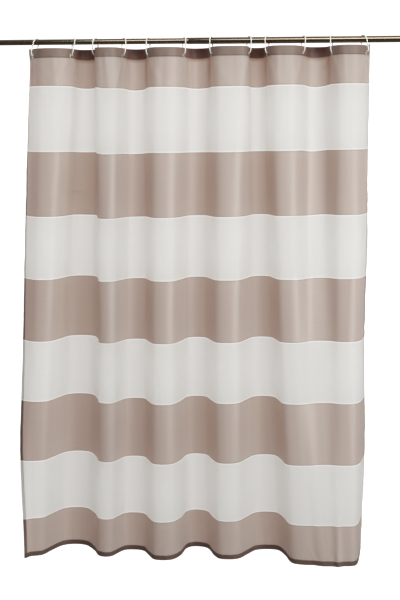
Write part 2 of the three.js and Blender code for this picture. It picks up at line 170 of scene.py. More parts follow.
def length_property(name, description, default):
    """A length setting, in metres."""
    return FloatProperty(name=name, description=description, default=default, unit="LENGTH")


def colour_property(name, description, default):
    """A colour setting."""
    return FloatVectorProperty(
        name=name, description=description, default=default, size=3, min=0, max=1, subtype="COLOR"
    )


class CurtainClothSettings(bpy.types.PropertyGroup):
    """Sizes and colours of the cloth."""

    width: length_property("Width", "Flat width of the cloth", 1828.8 * MM)
    drop: length_property("Drop", "Flat height of the cloth", 1828.8 * MM)
    first_band: length_property("First band", "Height of the top taupe band", 130 * MM)
    band: length_property("Band", "Height of each full band", 221.7 * MM)
    header_hem: length_property("Header hem", "Depth of the top hem", 31 * MM)
    bottom_hem: length_property("Bottom hem", "Depth of the bottom hem", 18 * MM)
    side_hem: length_property("Side hem", "Width of each side hem", 11 * MM)
    back_sag: length_property("Sag", "How far a back fold sinks between its hooks", 9 * MM)
    columns: IntProperty(name="Columns", description="Cells across the cloth", default=400)
    rows: IntProperty(name="Rows", description="Cells down the cloth", default=245)
    taupe: colour_property("Taupe", "Colour of the dark bands", (0.44, 0.41, 0.385))
    white: colour_property("White", "Colour of the light bands", (0.78, 0.75, 0.73))
    taupe_through: colour_property("Taupe lit", "Taupe with light behind", (0.70, 0.43, 0.312))
    white_through: colour_property("White lit", "White with light behind", (0.89, 0.885, 0.86))


class CurtainHookSettings(bpy.types.PropertyGroup):
    """Sizes and colour of the hooks and grommets."""

    wire: length_property("Wire", "Thickness of a hook's wire", 4 * MM)
    mouth: length_property("Mouth", "Gap in a hook's back strand", 5 * MM)
    plastic: colour_property("Plastic", "Colour of the hooks", (0.83, 0.79, 0.70))
    nickel: colour_property("Nickel", "Colour of the grommets", (0.66, 0.63, 0.58))


class CurtainRodSettings(bpy.types.PropertyGroup):
    """Colours of the rod."""

    bronze: colour_property("Bronze", "Colour of the tubes", (0.145, 0.108, 0.07))
    dark_plastic: colour_property("Cap plastic", "Colour of the end caps", (0.035, 0.024, 0.018))
    rubber: colour_property("Rubber", "Colour of the wall pads", (0.028, 0.025, 0.022))


class CurtainStageSettings(bpy.types.PropertyGroup):
    """Camera, floor, and the light behind and ahead of the cloth."""

    lens: FloatProperty(
        name="Lens", description="Focal length", default=60, min=10, unit="CAMERA"
    )
    floor: length_property("Floor", "Height of the floor under the rod", -2.02)
    back_glow: FloatProperty(name="Back", description="Light from behind", default=1.24, min=0)
    front_glow: FloatProperty(name="Front", description="Light from ahead", default=0.2, min=0)


# ---------------------------------------------------------------- shape helpers


FOLD_SHARES = np.linspace(0, 1, FOLD_STEPS, endpoint=False)[None, :, None]
HERMITE = (
    2 * FOLD_SHARES**3 - 3 * FOLD_SHARES**2 + 1,
    FOLD_SHARES**3 - 2 * FOLD_SHARES**2 + FOLD_SHARES,
    3 * FOLD_SHARES**2 - 2 * FOLD_SHARES**3,
    FOLD_SHARES**3 - FOLD_SHARES**2,
)


def catmull(p):
    """A centripetal Catmull-Rom line through plan points, with its end points carried on."""
    pts = np.vstack([2 * p[0] - p[1], p, 2 * p[-1] - p[-2]])
    gaps = np.diff(pts, axis=0)
    t = np.sqrt(np.linalg.norm(gaps, axis=1))[:, None]
    slope = gaps / t
    inner = (gaps[:-1] + gaps[1:]) / (t[:-1] + t[1:])
    bend = slope[:-1] - inner + slope[1:]
    leave, arrive = (bend[:-1] * t[1:-1])[:, None], (bend[1:] * t[1:-1])[:, None]
    start, stop = pts[1:-2][:, None], pts[2:-1][:, None]
    run = HERMITE[0] * start + HERMITE[1] * leave + HERMITE[2] * stop + HERMITE[3] * arrive
    return np.vstack([run.reshape(-1, 2), p[-1:]])


def line_lengths(line):
    """The length along a line at each of its points."""
    steps = np.linalg.norm(np.diff(line, axis=0), axis=1)
    return np.concatenate([[0], np.cumsum(steps)])


def rounded(line, reach):
    """The line with its bends eased over a distance, its ends kept."""
    lengths = line_lengths(line)
    even = np.linspace(0, lengths[-1], len(line))
    smooth = np.stack([np.interp(even, lengths, line[:, k]) for k in (0, 1)], axis=1)
    spread = max(1, int(reach / (lengths[-1] / len(line))))
    kernel = np.hanning(2 * spread + 3)[1:-1]
    kernel /= kernel.sum()
    padded = np.pad(smooth, ((spread, spread), (0, 0)), mode="reflect", reflect_type="odd")
    return np.stack([np.convolve(padded[:, k], kernel, "valid") for k in (0, 1)], axis=1)


def smoothstep(low, high, value):
    """0 below low, 1 above high, with a soft rise between."""
    t = np.clip((value - low) / (high - low), 0, 1)
    return t * t * (3 - 2 * t)


def bell(value, middle, spread):
    """1 at the middle, falling away smoothly on both sides."""
    return np.exp(-(((value - middle) / spread) ** 2))


def station_points(drop, total):
    """The fold stations at one drop, eased smoothly from header to hem."""
    t = max(drop - STRAIGHT_HEADER, 0) / (total - STRAIGHT_HEADER)
    mid = (total * HALF_WAY - STRAIGHT_HEADER) / (total - STRAIGHT_HEADER)
    first, last = t / mid, (t - mid) / (1 - mid)
    straight = (1 - first, first, 0) if t < mid else (0, 1 - last, last)
    curve = (
        (t - mid) * (t - 1) / mid,
        t * (1 - t) / (mid * (1 - mid)),
        t * (t - mid) / (1 - mid),
    )
    blend = min(1, CURVE_TAKES_OVER * t * (1 - t))
    weights = [s + (c - s) * blend for s, c in zip(straight, curve)]
    points = np.einsum("k,fkx->fx", weights, np.array(FOLDS, float)) * MM
    return full_folds(points, t)


def full_folds(points, t):
    """The stations with a shoulder on each side of every fold crest, for rounder folds."""
    usual, deep = SHOULDER
    toward = {  # the crisper folds, by the grommet station beside them
        5: 0.84 - 0.3 * t,
        9: 0.64,
        13: 0.64,
        15: 0.52 + 0.26 * math.exp(-t / 0.15),
        17: 0.68,
        21: 0.62,
    }
    out = [points[0]]
    for k in range(len(points) - 1):
        crest, side = (points[k], points[k + 1]) if k % 2 == 0 else (points[k + 1], points[k])
        if 0 < k < len(points) - 2:
            grommet = k if k % 2 else k + 1
            out.append(crest + (side - crest) * (toward.get(grommet, usual), deep))
        out.append(points[k + 1])
    return np.array(out)


def plan_row(drop, total, width):
    """The cloth's plan line at one drop: its points, and the length along it at each."""
    stations = station_points(drop, total)
    low, high = 0.5, 2.0  # bounds of the depth that makes the line as long as the cloth
    for _ in range(12):
        depth = (low + high) / 2
        line = rounded(catmull(stations * (1, depth)), FOLD_EASE)
        lengths = line_lengths(line)
        if lengths[-1] < width:
            low = depth
        else:
            high = depth
    return line, lengths


def puckers(draw, place, span, away, count, wide, reach, lean, depth):
    """Ridges that leave a seam: place runs along it, away is the distance from it.

    Widths, reaches and depths are in millimetres.
    """
    out = 0
    for _ in range(count):
        at, width = draw.uniform(*span), draw.uniform(*wide) * MM
        fade, slant = draw.uniform(*reach) * MM, draw.uniform(-lean, lean)
        height = draw.uniform(-depth, depth) * MM
        ridge = bell(place - slant * away, at, width)
        out = out + height * ridge * np.exp(-np.maximum(away, 0) / fade)
    return out


class ClothSheet:
    """The hung cloth as a grid of points, sampled by place across and down it."""

    def __init__(self, cloth):
        self.width, self.drop = cloth.width, cloth.drop
        self.columns, self.rows = cloth.columns, cloth.rows
        self.pitch = self.width / HOOKS
        self.grommet_at = (np.arange(HOOKS) + 0.5) * self.pitch
        self.along = np.linspace(0, self.width, self.columns + 1)
        self.down = np.linspace(0, self.drop, self.rows + 1)
        self.points = self.hang(cloth.back_sag)
        self.find_normals()
        self.points += self.normals * self.wrinkles(cloth)[..., None]
        self.find_normals()

    def hang(self, back_sag):
        """Works out every point from the fold stations."""
        grid = np.zeros((self.rows + 1, self.columns + 1, 3))
        for row, drop in zip(grid, self.down):
            line, lengths = plan_row(drop, self.drop, self.width)
            even = self.along / self.width * lengths[-1]
            pinned = self.pinned(line, lengths)
            at = pinned + (even - pinned) * smoothstep(STRAIGHT_HEADER, EVEN_BELOW, drop)
            row[:, 0] = np.interp(at, lengths, line[:, 0])
            row[:, 1] = np.interp(at, lengths, line[:, 1])
        down = self.down[:, None]
        lift = np.interp(self.along, self.grommet_at, [c.z for c in GROMMET_CENTRES])
        grid[..., 2] = lift + GROMMET_DROP - down - self.sag(back_sag, down) + self.raised(down)
        from_right = self.width - self.along
        most, level, tall, reach = EDGE_SWELL
        swell = most * bell(down, level, tall)
        grid[..., 0] -= swell * np.exp(-self.along / reach)
        grid[..., 0] += RIGHT_SWELL * swell * np.exp(-from_right / reach)
        most, level, tall, reach = EDGE_CURL
        grid[..., 1] -= most * bell(down, level, tall) * np.exp(-from_right / reach)
        return grid

    def pinned(self, line, lengths):
        """Places along the plan line that put every grommet at its own x."""
        near = [
            lengths[np.argmin(np.abs(line[:, 0] - c.x) + 0.6 * np.abs(line[:, 1] - c.y))]
            for c in GROMMET_CENTRES
        ]
        if np.any(np.diff(near) <= 0):
            return self.along / self.width * lengths[-1]
        return np.interp(
            self.along, [0, *self.grommet_at, self.width], [0, *near, lengths[-1]]
        )

    def sag(self, back_sag, down):
        """How far the back folds sink between their hooks."""
        turn = self.along / self.pitch - 0.5
        pair = np.floor(turn).astype(int)
        back = (pair >= 0) & (pair < HOOKS - 1) & (pair % 2 == 1)
        sink = np.where(back, np.sin(np.pi * (turn - pair)) ** 2, 0) * back_sag
        lasting = np.array([SAG_FADES.get(int(p), OTHER_SAG_FADE) for p in pair])
        return sink * np.exp(-down / lasting) * SAG_SHARE * (1 - np.exp(-down / SAG_STARTS))

    def raised(self, down):
        """How much higher than level the top corners and the upper cloth hang."""
        left, right = CORNER_LIFTS
        corners = left * smoothstep(CORNER_REACH, 0, self.along)
        corners += right * smoothstep(self.width - CORNER_REACH, self.width, self.along)
        level = np.interp(self.along, *LEVELS) * MM
        level = level * smoothstep(*LEVELS_START, down) * bell(down, 0, LEVELS_FADE)
        return corners * np.exp(-down / CORNER_FADE) + level

    def wrinkles(self, cloth):
        """How far each point stands off the smooth folds: gathers, pulls and puckers."""
        across, down = self.along[None, :], self.down[:, None]
        draw = random.Random(11)
        whole = (0, self.width)
        below = down - cloth.header_hem
        gathers_down = puckers(
            draw, across, whole, below, count=110, wide=(6, 13), reach=(50, 230), lean=0.1, depth=1.9
        )
        out = gathers_down * smoothstep(-0.6 * cloth.header_hem, 6 * MM, below)
        out = out - self.hook_pulls(draw, across, down - GROMMET_DROP)
        above = self.drop - cloth.bottom_hem - down
        over_hem = puckers(
            draw, across, whole, above, count=150, wide=(5, 9), reach=(14, 48), lean=0.5, depth=1.4
        )
        out = out + over_hem * smoothstep(-0.8 * cloth.bottom_hem, 2 * MM, above)
        for edge in whole:
            out = out + puckers(
                draw, down, (0.05, self.drop), np.abs(across - edge), count=70, wide=(8, 20),
                reach=(14, 40), lean=0.4, depth=0.8,
            )
        out = out + self.unevenness(draw, across, down) - self.crumple(across, down)
        grommets = (np.round(across / self.pitch - 0.5) + 0.5) * self.pitch
        from_hole = np.hypot(across - grommets, down - GROMMET_DROP)
        return out * smoothstep(*FLAT_BY_GROMMET, from_hole)

    def hook_pulls(self, draw, across, under):
        """Pulls that fan out under each hook, two to each side."""
        out = 0
        for middle in self.grommet_at:
            for side in (-1, -1, 1, 1):
                slant, long = draw.uniform(0.25, 0.75), draw.uniform(50, 120) * MM
                depth = draw.uniform(1.8, 3.8) * MM
                aside = (across - middle) * side
                run = under * math.cos(slant) + aside * math.sin(slant)
                off = aside * math.cos(slant) - under * math.sin(slant)
                ridge = bell(off, 0, 6 * MM + 0.07 * np.abs(run))
                start = smoothstep(14 * MM, 34 * MM, run)
                out = out + depth * ridge * start * np.exp(-np.maximum(run, 0) / long)
        return out

    def unevenness(self, draw, across, down):
        """The slow unevenness of a light cloth, long down the drop."""
        out = 0
        for _ in range(60):
            at, wide = draw.uniform(0, self.width), draw.uniform(14, 40) * MM
            level, tall = draw.uniform(0.1, 1.75), draw.uniform(0.12, 0.6)
            depth, lean = draw.uniform(-2.0, 2.0) * MM, draw.uniform(-0.06, 0.06)
            ridge = bell(across - lean * (down - level), at, wide)
            out = out + depth * ridge * bell(down, level, tall)
        return out

    def crumple(self, across, down):
        """A crumple where the right side seam has caught."""
        from_edge, depth, half_width, ridge_width = CRUMPLE
        aside = across - (self.width - from_edge)
        ridges = sum(bell(down - slant * aside, at, ridge_width) for slant, at in CRUMPLE_RIDGES)
        return depth * ridges * bell(aside, 0, half_width)

    def find_normals(self):
        """Normals that face the back of the curtain."""
        across = np.gradient(self.points, axis=1)
        down = np.gradient(self.points, axis=0)
        normal = np.cross(down, across)
        normal /= np.linalg.norm(normal, axis=2, keepdims=True)
        middle = normal[self.rows // 2, self.columns // 2]
        if middle[1] < 0:
            normal = -normal
        self.normals = normal

    def sample(self, along, down, offset=0.0):
        """Points and normals at places on the cloth, moved back by an offset."""
        u = np.clip(np.asarray(along, float) / self.width * self.columns, 0, self.columns - 1e-6)
        v = np.clip(np.asarray(down, float) / self.drop * self.rows, 0, self.rows - 1e-6)
        i, j = u.astype(int), v.astype(int)
        fu, fv = (u - i)[..., None], (v - j)[..., None]

        def mixed(grid):
            return (
                grid[j, i] * (1 - fu) * (1 - fv)
                + grid[j, i + 1] * fu * (1 - fv)
                + grid[j + 1, i] * (1 - fu) * fv
                + grid[j + 1, i + 1] * fu * fv
            )

        normal = mixed(self.normals)
        normal /= np.linalg.norm(normal, axis=-1, keepdims=True)
        return mixed(self.points) + normal * np.asarray(offset)[..., None], normal


_sheet = {}


def cloth_sheet():
    """The hung cloth, worked out once."""
    if "sheet" not in _sheet:
        _sheet["sheet"] = ClothSheet(bpy.context.scene.curtain_cloth)
    return _sheet["sheet"]


def finish_piece(name, bm, material, body, smooth=True, angle=None):
    """Turns a bmesh into a named piece that rides on a CAD body."""
    mesh = bpy.data.meshes.new(name)
    bm.to_mesh(mesh)
    bm.free()
    mesh.materials.append(material)
    if smooth:
        mesh.shade_smooth()
    if angle is not None:
        mesh.set_sharp_from_angle(angle=math.radians(angle))
    piece = bpy.data.objects.new(name, mesh)
    bpy.context.scene.collection.objects.link(piece)
    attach(piece, body)
    return piece


def gathers(piece):
    """Gives the piece its own copy of its mesh."""
    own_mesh(piece)


def laid_grid(name, across, along, place, material):
    """A grid of cells whose every vertex is moved to place(row share, column share)."""
    bm = bmesh.new()
    uv = bm.loops.layers.uv.new("UVMap")
    bmesh.ops.create_grid(bm, x_segments=along, y_segments=across, size=1, calc_uvs=True)
    shares = np.array([[(v.co.x + 1) / 2, (1 - v.co.y) / 2] for v in bm.verts])
    points, uvs = place(shares[:, 0], shares[:, 1])
    for v, p in zip(bm.verts, points):
        v.co = p
    for face in bm.faces:
        for loop in face.loops:
            loop[uv].uv = uvs[loop.vert.index]
    return finish_piece(name, bm, material, "curtain")


def spin_closed(bm, points, centre, axis, steps):
    """A closed outline turned right round an axis."""
    ring = [bm.verts.new(p) for p in points]
    edges = [bm.edges.new(pair) for pair in zip(ring, ring[1:] + ring[:1])]
    bmesh.ops.spin(
        bm,
        geom=ring + edges,
        cent=centre,
        axis=axis,
        angle=2 * math.pi,
        steps=steps,
        use_merge=True,
    )


# ---------------------------------------------------------------- materials


def new_material(name):
    """A material with a Principled shader, and what is needed to wire it."""
    material = bpy.data.materials.new(name)
    material.use_nodes = True
    tree = material.node_tree
    return material, tree, tree.nodes["Principled BSDF"]


def feed(tree, socket, value):
    """Sets a socket's value, or links it when the value is another node's output."""
    if isinstance(value, bpy.types.NodeSocket):
        tree.links.new(value, socket)
    else:
        socket.default_value = value


def set_inputs(tree, made, **inputs):
    """Feeds a node's inputs by name, with _ for each space."""
    for key, value in inputs.items():
        feed(tree, made.inputs[key.replace("_", " ")], value)


def node(tree, kind, **inputs):
    """A node with its inputs fed by name."""
    made = tree.nodes.new(kind)
    set_inputs(tree, made, **inputs)
    return made


def math_node(tree, operation, *values):
    """A Math node's output."""
    made = tree.nodes.new("ShaderNodeMath")
    made.operation = operation
    for socket, value in zip(made.inputs, values):
        feed(tree, socket, value)
    return made.outputs[0]


def product(tree, first, *others):
    """The output of values multiplied together."""
    for value in others:
        first = math_node(tree, "MULTIPLY", first, value)
    return first


def ramp(tree, value, low, high, start=0.0, stop=1.0, smooth=False):
    """A Map Range's output: start at low and below, stop at high and above."""
    made = node(
        tree, "ShaderNodeMapRange", Value=value, From_Min=low, From_Max=high, To_Min=start, To_Max=stop
    )
    if smooth:
        made.interpolation_type = "SMOOTHSTEP"
    return made.outputs[0]


def mixed_colour(tree, share, a, b, blend="MIX"):
    """A colour mix's output; a and b are colours or other nodes' outputs."""
    made = tree.nodes.new("ShaderNodeMix")
    made.data_type = "RGBA"
    made.blend_type = blend
    feed(tree, made.inputs[0], share)
    for socket, colour in ((made.inputs[6], a), (made.inputs[7], b)):
        feed(tree, socket, colour if isinstance(colour, bpy.types.NodeSocket) else (*colour, 1))
    return made.outputs[2]


def noise(tree, place, scale, detail, stretch=None):
    """Noise at a place, after a stretch if one is given."""
    if stretch is not None:
        place = node(tree, "ShaderNodeMapping", Vector=place, Scale=stretch).outputs[0]
    return node(tree, "ShaderNodeTexNoise", Vector=place, Scale=scale, Detail=detail)


def new_group(name, inputs, outputs):
    """A shader node group with named sockets; inputs are (name, type, default)."""
    group = bpy.data.node_groups.new(name, "ShaderNodeTree")
    for label, kind, default in inputs:
        socket = group.interface.new_socket(label, in_out="INPUT", socket_type=kind)
        socket.default_value = default
    for label in outputs:
        group.interface.new_socket(label, in_out="OUTPUT", socket_type="NodeSocketFloat")
    return group, group.nodes.new("NodeGroupInput").outputs, group.nodes.new("NodeGroupOutput")


def use_group(tree, group, **inputs):
    """A group placed in a material with its own values."""
    made = tree.nodes.new("ShaderNodeGroup")
    made.node_tree = group
    set_inputs(tree, made, **inputs)
    return made


def satin_weave_group():
    """Fine satin threads: a height for the bump, and a tone that varies thread by thread."""
    found = bpy.data.node_groups.get("Satin weave")
    if found:
        return found
    group, start, end = new_group(
        "Satin weave",
        [
            ("Place", "NodeSocketVector", (0, 0, 0)),
            ("Threads", "NodeSocketFloat", 2.0),
            ("Streaks", "NodeSocketFloat", 1.0),
        ],
        ["Height", "Tone"],
    )
    place = start["Place"]
    split = node(group, "ShaderNodeSeparateXYZ", Vector=place).outputs
    weft = product(group, split["Y"], start["Threads"])
    warp = product(group, split["X"], start["Threads"])
    shift = product(group, math_node(group, "FLOOR", weft), 0.2)
    ridge = math_node(group, "SINE", product(group, weft, 2 * math.pi))
    shifted = math_node(group, "ADD", warp, shift)
    over = math_node(group, "SINE", product(group, shifted, 0.4 * math.pi))
    over = math_node(group, "ABSOLUTE", over)
    height = math_node(group, "ADD", product(group, ridge, 0.5), over)
    slub = noise(group, place, 1.0, 3.0, stretch=(0.006, 0.9, 1)).outputs[0]
    upright = noise(group, place, 1.0, 2.0, stretch=(0.35, 0.002, 1)).outputs[0]
    uneven = math_node(group, "SUBTRACT", math_node(group, "ADD", slub, upright), 1.0)
    tone = math_node(group, "ADD", product(group, uneven, start["Streaks"]), 1.0)
    set_inputs(group, end, Height=height, Tone=tone)
    return group


def scuff_group():
    """Soft uneven wear: a mask of small marks for hard finishes."""
    found = bpy.data.node_groups.get("Handling marks")
    if found:
        return found
    group, start, end = new_group(
        "Handling marks",
        [("Scale", "NodeSocketFloat", 40.0), ("Stretch", "NodeSocketVector", (1, 1, 1))],
        ["Mask", "Height"],
    )
    place = node(group, "ShaderNodeTexCoord").outputs["Object"]
    broad = noise(group, place, start["Scale"], 5.0, stretch=start["Stretch"])
    broad.inputs["Roughness"].default_value = 0.6
    fine = noise(group, place, 900.0, 2.0)
    mask = ramp(group, broad.outputs[0], 0.42, 0.72)
    set_inputs(group, end, Mask=mask, Height=fine.outputs[0])
    return group


def cloth_material(name, cloth, doubled):
    """Striped satin that lets light through, with painted shade on the hems, the back folds and their
    creased flanks.
    """
    material, tree, shader = new_material(name)
    uv = node(tree, "ShaderNodeUVMap")
    uv.uv_map = "UVMap"
    # From here on every size is in millimetres along the cloth or down it
    width, drop = cloth.width / MM, cloth.drop / MM
    header_hem, bottom_hem = cloth.header_hem / MM, cloth.bottom_hem / MM
    side_hem = cloth.side_hem / MM
    in_mm = node(tree, "ShaderNodeMapping", Vector=uv.outputs[0], Scale=(width, drop, 1)).outputs[0]
    split = node(tree, "ShaderNodeSeparateXYZ", Vector=in_mm).outputs
    along, down = split["X"], split["Y"]
    below_first = math_node(tree, "SUBTRACT", down, cloth.first_band / MM)
    band = math_node(tree, "DIVIDE", below_first, cloth.band / MM)
    is_taupe = math_node(tree, "FLOORED_MODULO", math_node(tree, "FLOOR", band), 2.0)

    def by_band(white, taupe):
        """One value on the white bands and another on the taupe ones."""
        return ramp(tree, is_taupe, 0, 1, white, taupe)

    def tinted(colour, mask, tint):
        """The colour, multiplied by a tint where the mask is 1."""
        shade = mixed_colour(tree, mask, (1, 1, 1), tint)
        return mixed_colour(tree, 1.0, colour, shade, "MULTIPLY")

    def times(colour, factor):
        """The colour, brighter or darker by a factor."""
        scaled = node(tree, "ShaderNodeVectorMath")
        scaled.operation = "SCALE"
        tree.links.new(colour, scaled.inputs[0])
        tree.links.new(factor, scaled.inputs["Scale"])
        return scaled.outputs[0]

    # Tone: the weave, and a thin row along each band's edge that leans to the other colour
    weave = use_group(
        tree, satin_weave_group(), Place=in_mm, Threads=1.6, Streaks=by_band(0.05, 0.12)
    )
    share = math_node(tree, "FRACT", band)
    to_edge = math_node(tree, "MINIMUM", share, math_node(tree, "SUBTRACT", 1.0, share))
    edge_row = product(tree, ramp(tree, to_edge, 0.01, 0.022, 1, 0), by_band(0.2, -0.16))
    tone = product(tree, weave.outputs["Tone"], math_node(tree, "ADD", edge_row, 1.0))

    # Hems, where the cloth is doubled: painted shade darkens them, standing in for the light the extra
    # layer holds back
    in_header = math_node(tree, "LESS_THAN", down, header_hem)
    in_bottom = math_node(tree, "GREATER_THAN", down, drop - bottom_hem)
    at_left = math_node(tree, "LESS_THAN", along, side_hem)
    at_right = math_node(tree, "GREATER_THAN", along, width - side_hem)
    at_side = math_node(tree, "MAXIMUM", at_left, at_right)
    at_end = math_node(tree, "MAXIMUM", in_header, in_bottom)
    hem = 1.0 if doubled else math_node(tree, "MAXIMUM", at_end, at_side)
    # Painted shade for the hems, on the front colour and on the lit-through colour
    painted_hem_shade_front = mixed_colour(tree, is_taupe, (0.9, 0.9, 0.89), (0.72, 0.52, 0.43))
    painted_hem_shade_through = mixed_colour(tree, is_taupe, (0.85, 0.85, 0.84), (0.5, 0.32, 0.26))
    front = mixed_colour(tree, is_taupe, cloth.white, cloth.taupe)
    front = tinted(front, hem, painted_hem_shade_front)
    through = mixed_colour(tree, is_taupe, cloth.white_through, cloth.taupe_through)
    through = tinted(through, hem, painted_hem_shade_through)

    # Painted shade on the back folds at the header, on their creased flanks in the first band, on the
    # bottom hem and on the side hems, and a dark line along the header seam
    turn = math_node(tree, "DIVIDE", along, width / HOOKS)
    turn = math_node(tree, "SUBTRACT", turn, 0.5)
    turn_share = math_node(tree, "FRACT", turn)
    back_fold = math_node(tree, "FLOORED_MODULO", math_node(tree, "FLOOR", turn), 2.0)
    arc = math_node(tree, "SINE", product(tree, turn_share, math.pi))
    header_fade = ramp(tree, down, GROMMET_DROP / MM, 46, 1, 0, smooth=True)
    flank = ramp(tree, turn_share, 0.72, 0.9, smooth=True)
    flank_ends = ramp(tree, turn_share, 0.9, 1.0, 1, 0)
    band_fade = ramp(tree, down, 30, 230, 1, 0, smooth=True)
    from_seam = math_node(tree, "ABSOLUTE", math_node(tree, "SUBTRACT", down, header_hem - 1.6))
    shades = (
        (product(tree, back_fold, arc, header_fade), (0.58, 0.29, 0.21)),
        (in_bottom, (0.52, 0.42, 0.38)),
        (math_node(tree, "LESS_THAN", from_seam, 2.0), (0.72, 0.66, 0.62)),
        (product(tree, back_fold, flank, band_fade, is_taupe, flank_ends), (0.8, 0.64, 0.58)),
        (product(tree, at_side, is_taupe), (0.66, 0.6, 0.56)),
    )
    for mask, tint in shades:
        front, through = tinted(front, mask, tint), tinted(through, mask, tint)

    bump = node(
        tree, "ShaderNodeBump", Strength=0.12, Distance=0.0003, Height=weave.outputs["Height"]
    ).outputs[0]
    set_inputs(
        tree,
        shader,
        Base_Color=times(front, tone),
        Roughness=by_band(0.75, 0.5),
        Specular_IOR_Level=1.0,
        Coat_Weight=0.2,
        Coat_Roughness=0.5,
        Sheen_Weight=0.1,
        Sheen_Roughness=0.45,
        Normal=bump,
    )
    lit = node(tree, "ShaderNodeBsdfTranslucent", Color=times(through, tone), Normal=bump)
    both = tree.nodes.new("ShaderNodeMixShader")
    for socket, value in zip(both.inputs, (by_band(0.71, 0.36), shader.outputs[0], lit.outputs[0])):
        tree.links.new(value, socket)
    tree.links.new(both.outputs[0], tree.nodes["Material Output"].inputs["Surface"])
    return material


def hard_material(
    name, colour, roughness, metallic=0.0, marks=0.3, coat=0.0, stretch=(1, 1, 1), grain=0.05
):
    """Moulded plastic, rubber or metal with handling marks in its gloss and tone."""
    material, tree, shader = new_material(name)
    worn = use_group(tree, scuff_group(), Scale=45.0, Stretch=stretch).outputs
    lighter = [min(1, c * 1.18 + 0.005) for c in colour]
    bump = node(tree, "ShaderNodeBump", Strength=grain, Distance=0.0002, Height=worn["Height"])
    set_inputs(
        tree,
        shader,
        Base_Color=mixed_colour(tree, worn["Mask"], colour, lighter),
        Roughness=ramp(tree, worn["Mask"], 0, 1, roughness, min(1, roughness * (1 + marks))),
        Metallic=metallic,
        Coat_Weight=coat,
        Coat_Roughness=0.08,
        Normal=bump.outputs[0],
    )
    return material


# ---------------------------------------------------------------- operators


class CURTAIN_OT_cloth(bpy.types.Operator):
    """Hangs the striped cloth panel from its grommets"""

    bl_idname = "curtain.cloth"
    bl_label = "Cloth panel"

    def execute(self, context):
        cloth = context.scene.curtain_cloth
        sheet = cloth_sheet()
        material = cloth_material("striped_satin", cloth, doubled=False)

        def place(across, down):
            points, _ = sheet.sample(across * sheet.width, down * sheet.drop)
            return points, np.stack([across, down], axis=1)

        panel = laid_grid("cloth_panel_fine", sheet.rows, sheet.columns, place, material)
        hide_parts("cloth_panel")
        gathers(panel)
        return {"FINISHED"}


class CURTAIN_OT_hems(bpy.types.Operator):
    """Turns back the header, bottom and side hems"""

    bl_idname = "curtain.hems"
    bl_label = "Hems"

    def execute(self, context):
        cloth = context.scene.curtain_cloth
        sheet = cloth_sheet()
        material = cloth_material("doubled_satin", cloth, doubled=True)
        gap = 0.9 * MM  # from the panel's middle to the turned-back layer's
        # The turned edge, as (share of the gap, millimetres inward from the edge)
        turned_edge = [(0, 0.0), (0.15, -0.35), (0.5, -0.5), (0.85, -0.35), (1, 0.1)]
        cells = 4  # from the turned edge to the seam

        def strip(node_name, edge, depth, inward, upright, first=0.0, last=1.0):
            """A strip folded over an edge, with its seam a depth inward of it."""
            offsets = np.array([share * gap for share, _ in turned_edge] + [gap] * cells)
            places = np.array(
                [edge + inward * reach * MM for _, reach in turned_edge]
                + [edge + inward * depth * k / cells for k in range(1, cells + 1)]
            )
            steps = 180 if upright else sheet.columns

            def place(share, row):
                index = np.rint(row * (len(places) - 1)).astype(int)
                into = places[index]
                run = first + (last - first) * share
                if upright:
                    along, down = into, run * sheet.drop
                else:
                    along, down = run * sheet.width, into
                points, _ = sheet.sample(along, down, offsets[index])
                points[:, 2] -= down - np.clip(down, 0, sheet.drop)
                return points, np.stack([along / sheet.width, down / sheet.drop], axis=1)

            piece = laid_grid(f"{node_name}_fine", len(places) - 1, steps, place, material)
            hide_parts(node_name)
            gathers(piece)

        top, low, side = cloth.header_hem, cloth.bottom_hem, cloth.side_hem
        start, end = top / sheet.drop, 1 - low / sheet.drop
        strip("header_hem", 0.0, top, 1, False)
        strip("bottom_hem", sheet.drop, low, -1, False)
        strip("left_side_hem", 0.0, side, 1, True, start, end)
        strip("right_side_hem", sheet.width, side, -1, True, start, end)
        return {"FINISHED"}


class CURTAIN_OT_stitching(bpy.types.Operator):
    """Sews the hems with rows of lock stitches"""

    bl_idname = "curtain.stitching"
    bl_label = "Stitching"

    def execute(self, context):
        cloth = context.scene.curtain_cloth
        sheet = cloth_sheet()
        material = hard_material("sewing_thread", (0.26, 0.19, 0.15), 0.7, marks=0.2)
        pitch = 4.2 * MM
        stitch = Matrix.Diagonal((3.0 * MM, 0.45 * MM, 0.36 * MM, 1))  # length, width, thickness
        inset = 1.6 * MM  # from a hem's raw edge to its row of stitches
        faces = (-0.15 * MM, 1.05 * MM)  # front of the panel and back of the hem

        def row(name, places, step):
            """Stitches at places on the cloth, on both faces, that run along a short step."""
            bm = bmesh.new()
            for face in faces:
                offset = np.full(len(places), face)
                points, normals = sheet.sample(places[:, 0], places[:, 1], offset)
                ahead, _ = sheet.sample(places[:, 0] + step[0], places[:, 1] + step[1], offset)
                for p, n, q in zip(points, normals, ahead):
                    run = Vector(q - p).normalized()
                    out = Vector(n).normalized()
                    wide = out.cross(run).normalized()
                    turned = Matrix((run, wide, out)).transposed().to_4x4()
                    bmesh.ops.create_cube(
                        bm, size=1, matrix=Matrix.Translation(Vector(p)) @ turned @ stitch
                    )
            gathers(finish_piece(name, bm, material, "curtain", smooth=False))

        def spots(along, down):
            """Places on the cloth, one of the two the same for all."""
            return np.stack(np.broadcast_arrays(along, down), axis=1)

        across = np.arange(inset, sheet.width - inset, pitch)
        upright = np.arange(cloth.header_hem + 3 * MM, sheet.drop - cloth.bottom_hem, pitch)
        left = spots(cloth.side_hem - inset, upright)
        right = spots(sheet.width - cloth.side_hem + inset, upright)
        row("header_stitching", spots(across, cloth.header_hem - inset), (MM, 0))
        row("bottom_stitching", spots(across, sheet.drop - cloth.bottom_hem + inset), (MM, 0))
        row("side_stitching", np.concatenate([left, right]), (0, MM))
        return {"FINISHED"}


